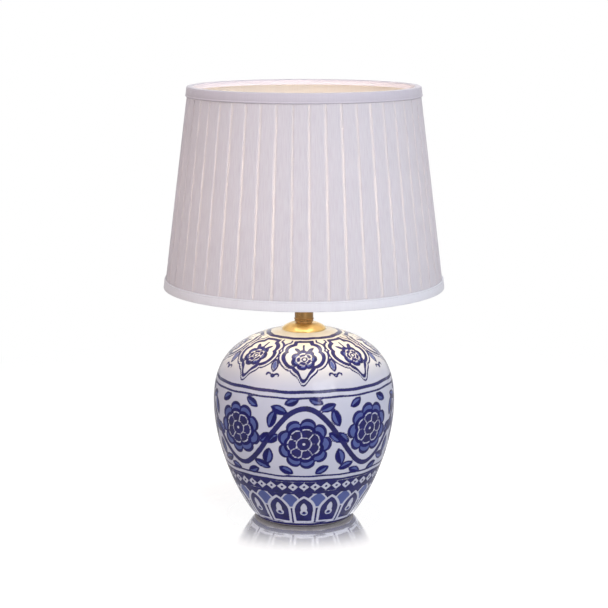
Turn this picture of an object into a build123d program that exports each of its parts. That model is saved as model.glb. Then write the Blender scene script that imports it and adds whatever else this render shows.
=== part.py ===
from build123d import *
from math import cos, radians, sin
import os

# Ginger jar table lamp: a porcelain jar, brass fittings, a screw lamp holder with its bulb,
# and a box-pleated cloth shade on a wire frame. Millimetres, +Z up. The origin is the centre
# of the foot on the table. The front faces -Y and the cable outlet is at the back.

# ---------------------------------------------------------------- clearances
nest = 0.1  # between pieces of one body that fit into each other
slip = 0.3  # between pieces that move past each other
rod_clearance = 0.25  # round the rod in the pieces that it passes through

# ---------------------------------------------------------------- jar
felt_thickness = 1.5
felt_edge = 0.5  # the felt stops this far inside the foot's outer edge
jar_height = 205.0
jar_wall = 5.0
jar_floor = 5.0
foot_r = 51.5
foot_ring_width = 6.0
foot_recess_depth = 12.0
foot_recess_round = 3.0
heel_reach = 6.5  # handle of the side curve at the foot
belly_r = 97.7
belly_height = 126.5  # widest place, above the foot
belly_handle_below = 62.0
belly_handle_above = 29.5
shoulder_reach = 67.0  # handle of the side curve at the top, outwards
shoulder_drop = 11.7  # and down
top_flat_r = 24.0
mouth_r = 14.0
floor_hole_r = 5.5
cavity_floor_r = 50.0
cavity_heel_reach = 12.0
cavity_belly_handle_below = 60.0

jar_foot_z = felt_thickness
jar_top_z = jar_foot_z + jar_height
belly_z = jar_foot_z + belly_height
recess_z = jar_foot_z + foot_recess_depth
cavity_floor_z = recess_z + jar_floor

# ---------------------------------------------------------------- cable outlet in the jar
outlet_rise = 30.5  # centre of the outlet above the foot
outlet_bore_r = 3.6
outlet_barrel_r = 5.6
outlet_flange_r = 8.0
outlet_flange = 1.6
outlet_inner_end = 3.2  # barrel past the wall's inside
outlet_seat = 0.6  # how far the flange reaches in to meet the curved wall

# ---------------------------------------------------------------- rod and its fastening
rod_r = 4.95
rod_bore_r = 3.75
rod_end_out = 1.0  # rod below the nut
nut_across_flats = 16.0
nut_height = 5.0
lock_washer_r = 8.6
lock_washer_thickness = 1.0
lock_washer_split = 1.2
base_washer_r = 20.0
base_washer_thickness = 1.5

# ---------------------------------------------------------------- brass cap and neck
bushing_barrel_depth = 8.0
bushing_flange_r = 17.0
bushing_flange = 2.0
cap_r = 23.5
cap_height = 7.0
cap_sheet = 0.8
cap_rim = 1.3
cap_seat_r = 11.5  # flat top of the cap
cap_crown = 1.2  # how far the cap's slope bulges
neck_height = 22.5
neck_collar_r = 10.2
neck_collar = 2.6
neck_bead = 2.8
neck_bead_bulge = 0.9
neck_r = 10.0
neck_flange_r = 12.0
neck_flange = 1.5
neck_cove = 3.0

# ---------------------------------------------------------------- lamp holder, for an E27 cap
cup_height = 20.0
cup_sheet = 0.8
cup_collar = 10.0
cup_collar_r = 8.0
cup_straight = 6.0  # straight rim of the cup
skirt_r = 19.5
skirt_wall = 2.0
skirt_overlap = 4.0  # skirt inside the cup
skirt_height = 32.0
skirt_lip = 6.0
skirt_mouth_round = 1.2
skirt_shoulder_rise = 10.0
skirt_shoulder = 2.5
skirt_shoulder_r = 22.5
block_height = 10.5
block_wall = 2.5
ledge = 2.0
shell_r = 13.9
shell_sheet = 0.4
shell_height = 22.0
contact_sheet = 0.5
contact_width = 5.0
contact_rise = 2.0
contact_half_length = 6.0
side_contact_height = 8.5
terminal_screw_r = 1.5
terminal_screw_length = 7.0
terminal_head_r = 2.8
terminal_head = 2.4
terminal_x = 12.0

# ---------------------------------------------------------------- bulb, A60 with an E27 cap
bulb_length = 105.0
bulb_r = 30.0
bulb_neck_r = 14.2
bulb_glass_wall = 0.8
bulb_cap_r = 13.1
bulb_cap_sheet = 0.4
bulb_cap_top = 27.0  # above the tip
bulb_cap_foot = 5.7
bulb_contact_r = 4.8
bulb_contact_height = 1.6
bulb_neck_rise = 1.5
bulb_tangent = 35.0  # degrees below the ball's middle, where the neck runs into it
bulb_neck_handle = 12.0
stem_flare = 1.5
stem_flare_rise = 20.0
stem_r = 3.5
stem_top = 52.0
lead_r = 0.4
lead_foot_x = 1.8
filament_x = 13.0
filament_rise = 70.0
filament_arch = 4.0
filament_r = 0.6

# ---------------------------------------------------------------- shade and its retaining ring
shade_bottom_r = 150.0
shade_top_r = 123.0
shade_height = 212.9
fitter_rise = 11.5  # fitter above the shade's bottom edge
fitter_thickness = 1.2
fitter_width = 6.8
fitter_clearance = 0.7  # fitter ring round the holder
ring_flange_r = 25.5
ring_flange = 1.5
ring_height = 5.0
ring_grip_r = 23.2
ring_rib_r = 0.8
ring_rib_count = 24
pleat_count = 48
pleat_gap = 2.9  # single-layer gap between two box pleats, at the bottom edge
pleat_depth = 0.9
pleat_phase = -91.5  # azimuth of the middle of one pleat
flats_per_pleat = 3  # short flats that the cover's inside is made of
cover_cloth = 0.4
lining_cloth = 0.5
bottom_band = 10.2
top_band = 10.5
band_back = 6.0  # how far the band turns down inside
band_outer = 1.4
band_inner = 0.8
band_round = 0.55
ring_wire_r = 1.4
strut_wire_r = 1.2
arm_wire_r = 1.5
strut_count = 6
first_strut = -96.0
struts_per_arm = 2


def point_at(radius, azimuth, z=0.0):
    """Point at a radius and an azimuth in degrees round the lamp's axis."""
    return (radius * cos(radians(azimuth)), radius * sin(radians(azimuth)), z)


def tube(inner_r, outer_r, low_z, high_z):
    """Section of a straight ring or tube round the lamp's axis, for revolving."""
    with Locations(((inner_r + outer_r) / 2, (low_z + high_z) / 2)):
        Rectangle(outer_r - inner_r, high_z - low_z)


# ================================================================ jar
side_below = [
    (foot_r, jar_foot_z),
    (foot_r + heel_reach, jar_foot_z),
    (belly_r, belly_z - belly_handle_below),
    (belly_r, belly_z),
]
side_above = [
    (belly_r, belly_z),
    (belly_r, belly_z + belly_handle_above),
    (top_flat_r + shoulder_reach, jar_top_z - shoulder_drop),
    (top_flat_r, jar_top_z),
]
cavity_r = belly_r - jar_wall
cavity_top_z = jar_top_z - jar_wall
cavity_below = [
    (cavity_floor_r, cavity_floor_z),
    (cavity_floor_r + cavity_heel_reach, cavity_floor_z),
    (cavity_r, belly_z - cavity_belly_handle_below),
    (cavity_r, belly_z),
]
cavity_above = [
    (cavity_r, belly_z),
    (cavity_r, belly_z + belly_handle_above),
    (top_flat_r + shoulder_reach - jar_wall, cavity_top_z - shoulder_drop),
    (top_flat_r, cavity_top_z),
]

# The outlet stands square to the wall, so its place comes from the side curve itself.
outlet_height_line = Edge.make_line((0, jar_foot_z + outlet_rise), (belly_r, jar_foot_z + outlet_rise))
side_curve = Edge.make_bezier(*side_below)
outlet_on_curve = side_curve.intersect(outlet_height_line).vertices()[0]
outlet_slope = side_curve.tangent_at(Vector(outlet_on_curve))
outlet_point = Vector(0, outlet_on_curve.X, outlet_on_curve.Y)
outlet_out = Vector(0, outlet_slope.Y, -outlet_slope.X)
outlet_plane = Plane(origin=outlet_point, x_dir=(1, 0, 0), z_dir=outlet_out)
outlet_section = Plane(origin=outlet_point, x_dir=(1, 0, 0), z_dir=(0, -outlet_out.Z, outlet_out.Y))

with BuildPart() as jar:
    with BuildSketch(Plane.XZ) as jar_section:
        with BuildLine():
            Bezier(*side_below)
            Bezier(*side_above)
            Polyline(side_above[-1], (0, jar_top_z), (0, jar_foot_z), side_below[0])
        make_face()
        with BuildLine():
            Bezier(*cavity_below)
            Bezier(*cavity_above)
            Polyline(cavity_above[-1], (0, cavity_top_z), (0, cavity_floor_z), cavity_below[0])
        make_face(mode=Mode.SUBTRACT)
        with Locations((0, jar_foot_z)):
            Rectangle(
                foot_r - foot_ring_width, foot_recess_depth, align=(Align.MIN, Align.MIN), mode=Mode.SUBTRACT
            )
        recess_corner = jar_section.vertices().sort_by_distance((foot_r - foot_ring_width, recess_z))[0]
        fillet(recess_corner, foot_recess_round)
    revolve()
    Cylinder(floor_hole_r, cavity_floor_z, align=(Align.CENTER, Align.CENTER, Align.MIN), mode=Mode.SUBTRACT)
    with Locations((0, 0, jar_top_z)):
        Cylinder(mouth_r, jar_wall, align=(Align.CENTER, Align.CENTER, Align.MAX), mode=Mode.SUBTRACT)
    with BuildSketch(outlet_plane):
        Circle(outlet_barrel_r + nest)
    extrude(amount=2 * jar_wall, both=True, mode=Mode.SUBTRACT)

# The felt covers the whole foot, and so closes the recess that holds the nut.
with BuildPart() as foot_felt:
    with BuildSketch():
        Circle(foot_r - felt_edge)
    extrude(amount=felt_thickness)

# The bush is turned about the outlet's own axis, then its flange is cut to the curved wall.
grommet_inner_end = -(jar_wall + outlet_inner_end)
with BuildPart() as cable_grommet:
    with BuildSketch(outlet_section):
        tube(outlet_bore_r, outlet_barrel_r, grommet_inner_end, outlet_flange)
        tube(outlet_bore_r, outlet_flange_r, -outlet_seat, outlet_flange)
    revolve(axis=Axis(outlet_point, outlet_out))
    add(jar.part, mode=Mode.SUBTRACT)

# ================================================================ rod and its fastening
base_washer_z = recess_z - base_washer_thickness
lock_washer_z = base_washer_z - lock_washer_thickness
nut_z = lock_washer_z - nut_height
rod_bottom_z = nut_z - rod_end_out
cap_top_z = jar_top_z + cap_height
neck_top_z = cap_top_z + neck_height
block_z = neck_top_z + cup_collar
rod_top_z = block_z - 2 * rod_end_out
rod_hole_r = rod_r + rod_clearance

with BuildPart() as threaded_rod:
    with BuildSketch(Plane.XY.offset(rod_bottom_z)):
        Circle(rod_r)
        Circle(rod_bore_r, mode=Mode.SUBTRACT)
    extrude(amount=rod_top_z - rod_bottom_z)

with BuildPart() as base_washer:
    with BuildSketch(Plane.XY.offset(base_washer_z)):
        Circle(base_washer_r)
        Circle(rod_hole_r, mode=Mode.SUBTRACT)
    extrude(amount=base_washer_thickness)

with BuildPart() as base_lock_washer:
    with BuildSketch(Plane.XY.offset(lock_washer_z)):
        Circle(lock_washer_r)
        Circle(rod_hole_r, mode=Mode.SUBTRACT)
        with Locations((3 * lock_washer_r / 2, 0)):
            Rectangle(2 * lock_washer_r, lock_washer_split, mode=Mode.SUBTRACT)
    extrude(amount=lock_washer_thickness)

with BuildPart() as base_nut:
    with BuildSketch(Plane.XY.offset(nut_z)):
        RegularPolygon(nut_across_flats / 2, 6, major_radius=False)
        Circle(rod_r + nest, mode=Mode.SUBTRACT)
    extrude(amount=nut_height)

# ================================================================ bushing, cap and neck
with BuildPart() as mouth_bushing:
    with BuildSketch(Plane.XZ):
        tube(rod_hole_r, mouth_r - slip, jar_top_z - bushing_barrel_depth, jar_top_z)
        tube(rod_hole_r, bushing_flange_r, jar_top_z, jar_top_z + bushing_flange)
    revolve()

with BuildPart() as vase_cap:
    with BuildSketch(Plane.XZ):
        with BuildLine():
            slope_foot = (cap_r, jar_top_z + cap_rim)
            inner_foot = (cap_r - cap_sheet, jar_top_z + cap_rim)
            Polyline(inner_foot, (cap_r - cap_sheet, jar_top_z), (cap_r, jar_top_z), slope_foot)
            SagittaArc(slope_foot, (cap_seat_r, cap_top_z), -cap_crown)
            Polyline(
                (cap_seat_r, cap_top_z),
                (rod_hole_r, cap_top_z),
                (rod_hole_r, cap_top_z - cap_sheet),
                (cap_seat_r, cap_top_z - cap_sheet),
            )
            SagittaArc((cap_seat_r, cap_top_z - cap_sheet), inner_foot, cap_crown)
        make_face()
    revolve()

with BuildPart() as neck:
    bead_low = (neck_collar_r, cap_top_z + neck_collar)
    bead_high = (neck_r, cap_top_z + neck_collar + neck_bead)
    cove_low = (neck_r, neck_top_z - neck_flange - neck_cove)
    cove_high = (neck_flange_r, neck_top_z - neck_flange)
    with BuildSketch(Plane.XZ):
        with BuildLine():
            Polyline((rod_hole_r, cap_top_z), (neck_collar_r, cap_top_z), bead_low)
            SagittaArc(bead_low, bead_high, -neck_bead_bulge)
            Line(bead_high, cove_low)
            SagittaArc(cove_low, cove_high, neck_cove / 5)
            Polyline(
                cove_high,
                (neck_flange_r, neck_top_z),
                (rod_hole_r, neck_top_z),
                (rod_hole_r, cap_top_z),
            )
        make_face()
    revolve()

# ================================================================ lamp holder
cup_r = skirt_r + nest + cup_sheet
cup_top_z = neck_top_z + cup_height
skirt_z = cup_top_z - skirt_overlap
skirt_top_z = skirt_z + skirt_height
skirt_inner_r = skirt_r - skirt_wall
block_r = skirt_inner_r - slip
block_top_z = block_z + block_height
block_wall_r = shell_r + block_wall / 2
shell_z = block_top_z + block_wall
shoulder_z = skirt_z + skirt_shoulder_rise
ledge_r = block_wall_r + nest


def cup_bell(inset):
    """Bell-shaped side of the cup, from its flat bottom to its straight rim."""
    foot, rim = neck_flange_r - inset, cup_r - inset
    low_z, high_z = neck_top_z + inset, cup_top_z - cup_straight
    reach = 0.65 * (rim - foot)
    return Bezier((foot, low_z), (foot + reach, low_z), (rim, (low_z + high_z) / 2), (rim, high_z))


with BuildPart() as holder_cup:
    with BuildSketch(Plane.XZ):
        with BuildLine():
            outer = cup_bell(0)
            inner = cup_bell(cup_sheet)
            Polyline(inner @ 1, (cup_r - cup_sheet, cup_top_z), (cup_r, cup_top_z), outer @ 1)
            Polyline(
                outer @ 0,
                (rod_r + nest, neck_top_z),
                (rod_r + nest, block_z),
                (cup_collar_r, block_z),
                (cup_collar_r, neck_top_z + cup_sheet),
                inner @ 0,
            )
        make_face()
    revolve()

# The block carries the contacts on top, and the screws for the wires underneath.
with BuildPart() as terminal_block:
    with BuildSketch(Plane.XZ):
        tube(0, block_r, block_z, block_top_z)
        tube(block_wall_r - block_wall, block_wall_r, block_top_z, shell_z)
    revolve()
    with BuildSketch(Plane.XY.offset(block_top_z)):
        with Locations((block_wall_r, 0)):
            Rectangle(3 * block_wall, contact_width + 2 * slip)
    extrude(amount=block_wall, mode=Mode.SUBTRACT)
    with BuildSketch(Plane.XY.offset(block_z)):
        with Locations((terminal_x, 0), (-terminal_x, 0)):
            Circle(terminal_screw_r + nest)
    extrude(amount=terminal_screw_length + nest, mode=Mode.SUBTRACT)

with BuildPart() as terminal_screws:
    with BuildSketch(Plane.XY.offset(block_z)):
        with Locations((terminal_x, 0), (-terminal_x, 0)):
            Circle(terminal_screw_r)
    extrude(amount=terminal_screw_length)
    with BuildSketch(Plane.XY.offset(block_z - terminal_head)):
        with Locations((terminal_x, 0), (-terminal_x, 0)):
            Circle(terminal_head_r)
    extrude(amount=terminal_head)

# A springy strip, bent back over itself, that presses on the bulb's tip.
contact_z = block_top_z + contact_rise
with BuildPart() as centre_contact:
    with BuildSketch(Plane.XZ):
        with BuildLine():
            Polyline(
                (-contact_half_length, block_top_z),
                (contact_half_length, block_top_z),
                (contact_half_length, block_top_z + 2 * contact_sheet),
                (-contact_half_length / 3, contact_z),
                (-contact_half_length / 3, contact_z - contact_sheet),
                (contact_half_length - 2 * contact_sheet, block_top_z + contact_sheet),
                (-contact_half_length, block_top_z + contact_sheet),
                close=True,
            )
        make_face()
    extrude(amount=contact_width / 2, both=True)

side_contact_x = shell_r + nest
with BuildPart() as side_contact:
    with BuildSketch(Plane.XZ):
        with BuildLine():
            Polyline(
                (side_contact_x - contact_width, block_top_z),
                (side_contact_x + contact_sheet, block_top_z),
                (side_contact_x + contact_sheet, block_top_z + side_contact_height),
                (side_contact_x, block_top_z + side_contact_height),
                (side_contact_x, block_top_z + contact_sheet),
                (side_contact_x - contact_width, block_top_z + contact_sheet),
                close=True,
            )
        make_face()
    extrude(amount=contact_width / 2, both=True)

with BuildPart() as screw_shell:
    with BuildSketch(Plane.XY.offset(shell_z)):
        Circle(shell_r)
        Circle(shell_r - shell_sheet, mode=Mode.SUBTRACT)
    extrude(amount=shell_height)

with BuildPart() as holder_skirt:
    with BuildSketch(Plane.XZ) as skirt_section:
        tube(skirt_inner_r, skirt_r, skirt_z, skirt_top_z)
        tube(shell_r + 2 * nest, skirt_r, skirt_top_z - skirt_lip, skirt_top_z)
        tube(ledge_r, skirt_r, block_top_z, block_top_z + ledge)
        tube(skirt_inner_r, skirt_shoulder_r, shoulder_z, shoulder_z + skirt_shoulder)
        fillet(skirt_section.vertices().group_by(Axis.Y)[-1], skirt_mouth_round)
    revolve()

# ================================================================ bulb
bulb_tip_z = contact_z + slip
cap_foot_z = bulb_tip_z + bulb_cap_foot
bulb_cap_z = bulb_tip_z + bulb_cap_top
ball_z = bulb_tip_z + bulb_length - bulb_r
flare_z = bulb_tip_z + stem_flare_rise
glass_foot_r = bulb_cap_r - bulb_cap_sheet - nest
stem_top_z = bulb_tip_z + stem_top
filament_z = bulb_tip_z + filament_rise


def glass_section(inset):
    """Outline of the bulb's glass from its foot to its crown, set in by its own wall."""
    ball = bulb_r - inset
    low, side = radians(-bulb_tangent), (sin(radians(bulb_tangent)), cos(radians(bulb_tangent)))
    joint = (ball * cos(low), ball_z + ball * sin(low))
    handle = (joint[0] - bulb_neck_handle * side[0], joint[1] - bulb_neck_handle * side[1])
    foot = glass_foot_r - inset
    shoulder = (bulb_neck_r - inset, bulb_cap_z + nest + bulb_neck_rise)
    with BuildLine() as outline:
        Polyline((0, flare_z), (foot, flare_z), (foot, bulb_cap_z + nest), shoulder)
        Bezier(shoulder, (shoulder[0], shoulder[1] + bulb_neck_handle), handle, joint)
        ThreePointArc(joint, (ball, ball_z), (0, ball_z + ball))
        Line((0, ball_z + ball), (0, flare_z))
    return outline.edges()


with BuildPart() as bulb_glass:
    with BuildSketch(Plane.XZ):
        make_face(glass_section(0))
        make_face(glass_section(bulb_glass_wall), mode=Mode.SUBTRACT)
    revolve()

with BuildPart() as bulb_cap:
    with BuildSketch(Plane.XZ):
        tube(bulb_cap_r - bulb_cap_sheet, bulb_cap_r, cap_foot_z, bulb_cap_z)
        tube(bulb_cap_r - 3 * bulb_cap_sheet, bulb_cap_r, cap_foot_z, cap_foot_z + bulb_cap_sheet)
    revolve()

with BuildPart() as bulb_contact:
    with BuildSketch(Plane.XY.offset(bulb_tip_z)):
        Circle(bulb_contact_r)
    extrude(amount=bulb_contact_height)
    fillet(bulb_contact.faces().sort_by(Axis.Z)[0].edges(), bulb_contact_height / 2)

with BuildPart() as bulb_insulator:
    with BuildSketch(Plane.XY.offset(bulb_tip_z + bulb_contact_height)):
        Circle(bulb_contact_r + nest)
    with BuildSketch(Plane.XY.offset(cap_foot_z)):
        Circle(bulb_cap_r - 2 * bulb_cap_sheet)
    loft()

with BuildPart() as bulb_stem:
    with BuildSketch(Plane.XZ):
        tube(0, glass_foot_r - bulb_glass_wall - nest, flare_z, flare_z + stem_flare)
        tube(0, stem_r, flare_z, stem_top_z)
    revolve()

with BuildPart() as bulb_leads:
    for side in (-1, 1):
        foot = Vector(side * lead_foot_x, 0, stem_top_z)
        tip = Vector(side * filament_x, 0, filament_z)
        with BuildSketch(Plane(origin=foot, z_dir=tip - foot)):
            Circle(lead_r)
        extrude(amount=(tip - foot).length)
    add(bulb_stem.part, mode=Mode.SUBTRACT)

with BuildPart() as bulb_filament:
    left, right = (-filament_x, 0, filament_z), (filament_x, 0, filament_z)
    with BuildLine() as filament_arc:
        ThreePointArc(left, (0, 0, filament_z + filament_arch), right)
    with BuildSketch(Plane(origin=left, z_dir=filament_arc.line % 0)):
        Circle(filament_r)
    sweep()
    add(bulb_leads.part, mode=Mode.SUBTRACT)

# ================================================================ retaining ring
fitter_z = shoulder_z + skirt_shoulder + slip
fitter_top_z = fitter_z + fitter_thickness
ring_z = fitter_top_z + slip
ring_r = skirt_r + slip

with BuildPart() as shade_ring:
    with BuildSketch(Plane.XY.offset(ring_z)):
        Circle(ring_flange_r)
        Circle(ring_r, mode=Mode.SUBTRACT)
    extrude(amount=ring_flange)
    with BuildSketch(Plane.XY.offset(ring_z)):
        Circle(ring_grip_r)
        with PolarLocations(ring_grip_r, ring_rib_count):
            Circle(ring_rib_r)
        Circle(ring_r, mode=Mode.SUBTRACT)
    extrude(amount=ring_height)

# ================================================================ shade
# The shade is built in layers, each set in from the slope of the edge bands: the outer leg
# of the bands, the pleated cover, the frame's wires, the lining and the bands' inner leg.
shade_z = fitter_z - fitter_rise
shade_top_z = shade_z + shade_height
cover_inset = band_outer + nest
gap_inset = cover_inset + pleat_depth
wire_inset = gap_inset + cover_cloth + nest + ring_wire_r
lining_inset = wire_inset + ring_wire_r + nest
band_back_inset = lining_inset + lining_cloth + nest
rim_width = band_back_inset + band_inner
cloth_z = shade_z + band_outer + nest
cloth_top_z = shade_top_z - band_outer - nest
wire_z = cloth_z + ring_wire_r
wire_top_z = cloth_top_z - ring_wire_r


def slope_r(z, inset):
    """Radius at a height, of the shade's layer that lies inset from the slope of its bands."""
    return shade_bottom_r + (shade_top_r - shade_bottom_r) * (z - shade_z) / shade_height - inset


def sloped_ring(outer_inset, inner_inset, low_z, high_z):
    """Section of a conical layer of the shade, for revolving."""
    with BuildLine() as outline:
        Polyline(
            (slope_r(low_z, outer_inset), low_z),
            (slope_r(high_z, outer_inset), high_z),
            (slope_r(high_z, inner_inset), high_z),
            (slope_r(low_z, inner_inset), low_z),
            close=True,
        )
    make_face(outline.edges())


def wire(start, end, radius, mode=Mode.ADD):
    """Straight wire from one point to another, added to the part being built or cut from it."""
    run = Vector(*end) - Vector(*start)
    with BuildSketch(Plane(origin=start, z_dir=run)) as wire_end:
        Circle(radius)
    extrude(wire_end.sketch, amount=run.length, mode=mode)


with BuildPart() as fitter_ring:
    with BuildSketch(Plane.XY.offset(fitter_z)):
        Circle(skirt_r + fitter_clearance + fitter_width)
        Circle(skirt_r + fitter_clearance, mode=Mode.SUBTRACT)
    extrude(amount=fitter_thickness)

with BuildPart() as frame_bottom_ring:
    with BuildSketch(Plane.XZ):
        with Locations((slope_r(wire_z, wire_inset), wire_z)):
            Circle(ring_wire_r)
    revolve()

with BuildPart() as frame_top_ring:
    with BuildSketch(Plane.XZ):
        with Locations((slope_r(wire_top_z, wire_inset), wire_top_z)):
            Circle(ring_wire_r)
    revolve()

# The wires butt against the rings, so their ends are hollowed to the rings' round.
with BuildPart() as frame_struts:
    for strut in range(strut_count):
        azimuth = first_strut + strut * 360 / strut_count
        low = point_at(slope_r(wire_z, wire_inset), azimuth, wire_z)
        high = point_at(slope_r(wire_top_z, wire_inset), azimuth, wire_top_z)
        wire(low, high, strut_wire_r)
    add(frame_bottom_ring.part, mode=Mode.SUBTRACT)
    add(frame_top_ring.part, mode=Mode.SUBTRACT)

fitter_r = skirt_r + fitter_clearance + fitter_width
fitter_middle_z = fitter_z + fitter_thickness / 2


def arm_wires(radius, mode=Mode.ADD):
    """Wires from the fitter ring out to the bottom ring, or the slits that they pass through."""
    for arm in range(strut_count // struts_per_arm):
        azimuth = first_strut + arm * struts_per_arm * 360 / strut_count
        low = point_at(fitter_r - arm_wire_r, azimuth, fitter_middle_z)
        high = point_at(slope_r(wire_z, wire_inset), azimuth, wire_z)
        wire(low, high, radius, mode)


with BuildPart() as fitter_arms:
    arm_wires(arm_wire_r)
    with BuildSketch(Plane.XY.offset(fitter_middle_z)):
        Circle(fitter_r)
    extrude(amount=3 * arm_wire_r, both=True, mode=Mode.SUBTRACT)
    add(frame_bottom_ring.part, mode=Mode.SUBTRACT)
    add(frame_struts.part, mode=Mode.SUBTRACT)

with BuildPart() as shade_lining:
    with BuildSketch(Plane.XZ):
        sloped_ring(lining_inset, lining_inset + lining_cloth, cloth_z, cloth_top_z)
    revolve()
    arm_wires(arm_wire_r + nest, Mode.SUBTRACT)


def pleat_outline(z):
    """Round of box pleats at one height: each is a flat panel and then a narrow gap."""
    pitch = 360 / pleat_count
    panel = pitch * (1 - pleat_gap / (radians(pitch) * shade_bottom_r))
    panel_r, gap_r = slope_r(z, cover_inset), slope_r(z, gap_inset)
    corners = []
    for pleat in range(pleat_count):
        middle = pleat_phase + pleat * pitch
        fold, next_fold = middle + panel / 2, middle + pitch - panel / 2
        corners += [point_at(panel_r, middle - panel / 2), point_at(panel_r, fold)]
        corners += [point_at(gap_r, fold), point_at(gap_r, next_fold)]
    with BuildLine() as outline:
        Polyline(*[corner[:2] for corner in corners], close=True)
    make_face(outline.edges())


def pleat_back(z):
    """Inside of the cover at one height, in short flats that all clear the frame's wires."""
    flat = 360 / (pleat_count * flats_per_pleat)
    corner_r = slope_r(z, gap_inset + cover_cloth) / cos(radians(flat / 2))
    corners = []
    for corner in range(pleat_count * flats_per_pleat):
        corners.append(point_at(corner_r, pleat_phase + flat * corner)[:2])
    with BuildLine() as outline:
        Polyline(*corners, close=True)
    make_face(outline.edges())


with BuildPart() as pleated_cover:
    with BuildSketch(Plane.XY.offset(cloth_z)):
        pleat_outline(cloth_z)
    with BuildSketch(Plane.XY.offset(cloth_top_z)):
        pleat_outline(cloth_top_z)
    loft(ruled=True)
    with BuildSketch(Plane.XY.offset(cloth_z)):
        pleat_back(cloth_z)
    with BuildSketch(Plane.XY.offset(cloth_top_z)):
        pleat_back(cloth_top_z)
    loft(ruled=True, mode=Mode.SUBTRACT)


def edge_band(edge_z, up, height):
    """U-shaped section of a folded band over one edge; up points from the edge into the shade."""
    leg_z, web_z, back_z = edge_z + up * height, edge_z + up * band_outer, edge_z + up * band_back
    with BuildLine() as outline:
        Polyline(
            (slope_r(edge_z, 0), edge_z),
            (slope_r(leg_z, 0), leg_z),
            (slope_r(leg_z, band_outer), leg_z),
            (slope_r(web_z, band_outer), web_z),
            (slope_r(web_z, band_back_inset), web_z),
            (slope_r(back_z, band_back_inset), back_z),
            (slope_r(back_z, rim_width), back_z),
            (slope_r(edge_z, rim_width), edge_z),
            close=True,
        )
    make_face(outline.edges())


with BuildPart() as bottom_binding:
    with BuildSketch(Plane.XZ) as bottom_section:
        edge_band(shade_z, 1, bottom_band)
        fillet(bottom_section.vertices().group_by(Axis.Y)[0], band_outer / 2)
        fillet(bottom_section.vertices().group_by(Axis.Y)[-1], band_round)
    revolve()
    arm_wires(arm_wire_r + nest, Mode.SUBTRACT)

with BuildPart() as top_binding:
    with BuildSketch(Plane.XZ) as top_section:
        edge_band(shade_top_z, -1, top_band)
        fillet(top_section.vertices().group_by(Axis.Y)[-1], band_outer / 2)
        fillet(top_section.vertices().group_by(Axis.Y)[0], band_round)
    revolve()

# ================================================================ files
pieces = {
    "jar": jar,
    "foot_felt": foot_felt,
    "cable_grommet": cable_grommet,
    "threaded_rod": threaded_rod,
    "base_washer": base_washer,
    "base_lock_washer": base_lock_washer,
    "base_nut": base_nut,
    "mouth_bushing": mouth_bushing,
    "vase_cap": vase_cap,
    "neck": neck,
    "holder_cup": holder_cup,
    "terminal_block": terminal_block,
    "terminal_screws": terminal_screws,
    "centre_contact": centre_contact,
    "side_contact": side_contact,
    "screw_shell": screw_shell,
    "holder_skirt": holder_skirt,
    "bulb_glass": bulb_glass,
    "bulb_cap": bulb_cap,
    "bulb_contact": bulb_contact,
    "bulb_insulator": bulb_insulator,
    "bulb_stem": bulb_stem,
    "bulb_leads": bulb_leads,
    "bulb_filament": bulb_filament,
    "shade_ring": shade_ring,
    "fitter_ring": fitter_ring,
    "fitter_arms": fitter_arms,
    "frame_bottom_ring": frame_bottom_ring,
    "frame_top_ring": frame_top_ring,
    "frame_struts": frame_struts,
    "shade_lining": shade_lining,
    "pleated_cover": pleated_cover,
    "bottom_binding": bottom_binding,
    "top_binding": top_binding,
}
os.makedirs("parts", exist_ok=True)
for name, piece in pieces.items():
    piece.part.label = name
    export_step(piece.part, f"parts/{name}.step")
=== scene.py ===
from math import cos, pi, radians, sin

import bmesh
import bpy
import numpy as np
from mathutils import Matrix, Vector
from mathutils.geometry import interpolate_bezier


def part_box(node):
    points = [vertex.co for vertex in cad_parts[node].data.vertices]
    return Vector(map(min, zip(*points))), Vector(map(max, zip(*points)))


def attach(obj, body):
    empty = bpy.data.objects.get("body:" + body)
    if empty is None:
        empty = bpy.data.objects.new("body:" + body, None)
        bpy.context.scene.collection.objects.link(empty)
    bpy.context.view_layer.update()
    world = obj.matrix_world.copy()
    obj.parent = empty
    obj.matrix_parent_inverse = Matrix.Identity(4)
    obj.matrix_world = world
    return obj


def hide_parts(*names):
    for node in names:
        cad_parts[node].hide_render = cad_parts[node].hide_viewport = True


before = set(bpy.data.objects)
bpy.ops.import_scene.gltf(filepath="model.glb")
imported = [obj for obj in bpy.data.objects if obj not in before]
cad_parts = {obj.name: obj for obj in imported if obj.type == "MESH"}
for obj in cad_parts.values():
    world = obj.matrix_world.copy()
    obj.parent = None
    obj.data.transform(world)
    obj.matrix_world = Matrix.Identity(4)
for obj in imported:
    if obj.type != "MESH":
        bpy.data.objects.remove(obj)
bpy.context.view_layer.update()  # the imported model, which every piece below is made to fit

bl_info = {
    "name": "Ginger jar lamp",
    "version": (1, 0, 0),
    "blender": (4, 5, 0),
    "location": "3D View > Sidebar > Jar lamp",
    "description": "Dresses the CAD frame of a painted porcelain lamp with a box-pleated shade",
    "category": "Object",
}

# Everything is in metres, +Z up, with the foot's middle at the origin and the front facing -Y.
# Outlines are written in millimetres, as pairs of radius and height.
MM = 0.001
FRONT = -pi / 2


def node_span(name):
    """Lowest and highest corner of a CAD node, in millimetres."""
    low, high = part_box(name)
    return low / MM, high / MM


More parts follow.
